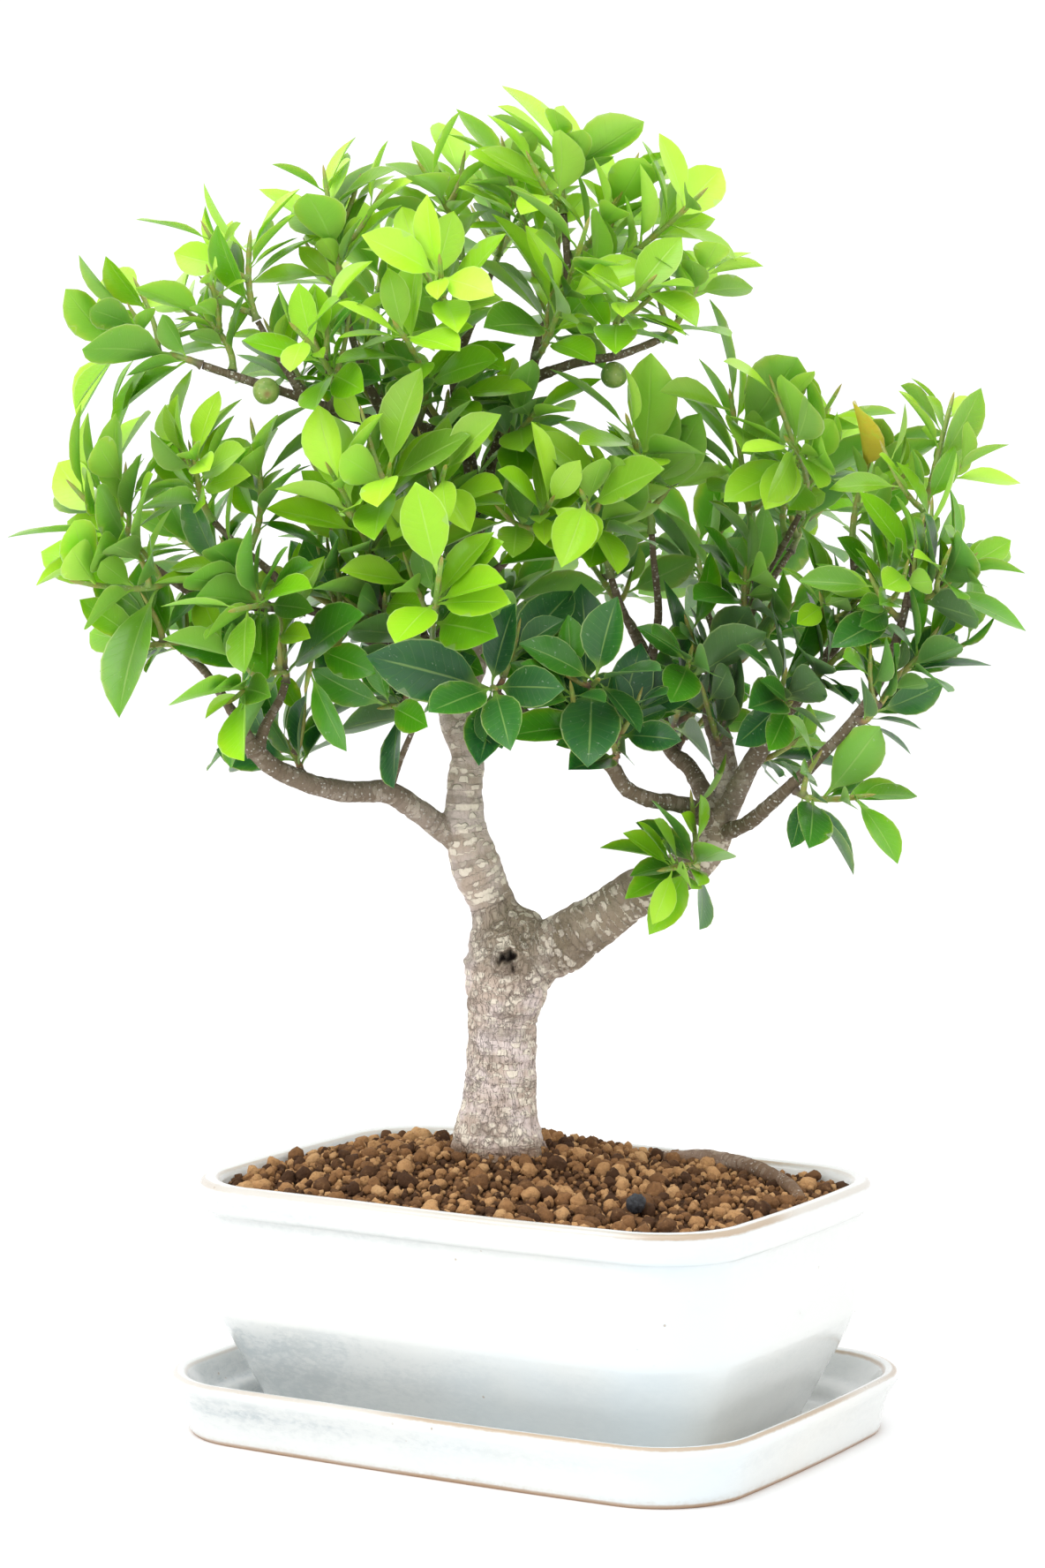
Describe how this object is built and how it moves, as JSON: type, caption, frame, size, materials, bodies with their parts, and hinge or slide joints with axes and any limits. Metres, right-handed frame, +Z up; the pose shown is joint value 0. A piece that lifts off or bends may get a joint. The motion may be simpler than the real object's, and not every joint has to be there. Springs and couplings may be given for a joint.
{
  "type": "bonsai tree in a pot",
  "caption": "Broadleaf fig bonsai with a forked, knuckled trunk and leafy shoots, growing from gritty soil in a white glazed rectangular pot that stands on a matching drip tray.",
  "frame": {"origin": "middle of the tray's flat underside, on the table", "axes": "+X along the pot's long side, +Y to its back, +Z up; the tree's own display front is turned 30.7 degrees about +Z"},
  "size_m": [0.3688, 0.2839, 0.5218],
  "materials": {
    "glaze": "glossy white glaze, thin and tan where it breaks over the edges",
    "clay_grit": "matt, rough, porous",
    "charred_grit": "matt, rough",
    "bark": "rough bark with pale corky bands",
    "leaf": "smooth waxy leaf, satin to glossy",
    "fig_skin": "smooth satin",
    "screen_plastic": "matt black moulded mesh",
    "wire": "satin drawn wire"
  },
  "bodies": {
    "root": {"pot": "glaze", "drip_tray": "glaze", "soil": "clay_grit", "drain_screen_left": "screen_plastic", "drain_screen_right": "screen_plastic", "screen_wire_left": "wire", "screen_wire_right": "wire", "char_grit": "charred_grit", "trunk_and_branches": "bark", "fig_left": "fig_skin", "fig_right": "fig_skin", "shoot_top_1": "leaf", "shoot_top_2": "leaf", "shoot_top_3": "leaf", "shoot_top_4": "leaf", "shoot_top_5": "leaf", "shoot_top_6": "leaf", "shoot_top_7": "leaf", "shoot_top_8": "leaf", "shoot_high_1": "leaf", "shoot_high_2": "leaf", "shoot_high_3": "leaf", "shoot_high_4": "leaf", "shoot_high_5": "leaf", "shoot_shoulder_1": "leaf", "shoot_shoulder_2": "leaf", "shoot_shoulder_3": "leaf", "shoot_shoulder_4": "leaf", "shoot_left_1": "leaf", "shoot_left_2": "leaf", "shoot_left_3": "leaf", "shoot_left_4": "leaf", "shoot_left_5": "leaf", "shoot_front_1": "leaf", "shoot_front_2": "leaf", "shoot_front_3": "leaf", "shoot_front_4": "leaf", "shoot_front_5": "leaf", "shoot_front_6": "leaf", "shoot_back_1": "leaf", "shoot_low_1": "leaf", "shoot_low_2": "leaf", "shoot_low_3": "leaf", "shoot_low_4": "leaf", "shoot_inner_1": "leaf", "shoot_inner_2": "leaf", "shoot_inner_3": "leaf", "shoot_inner_4": "leaf", "shoot_inner_5": "leaf", "shoot_back_2": "leaf", "shoot_right_1": "leaf", "shoot_right_2": "leaf", "shoot_right_3": "leaf", "shoot_right_4": "leaf", "shoot_right_5": "leaf", "shoot_right_6": "leaf", "shoot_back_3": "leaf", "shoot_back_4": "leaf", "shoot_under_1": "leaf", "shoot_under_2": "leaf"}
  },
  "joints": []
}
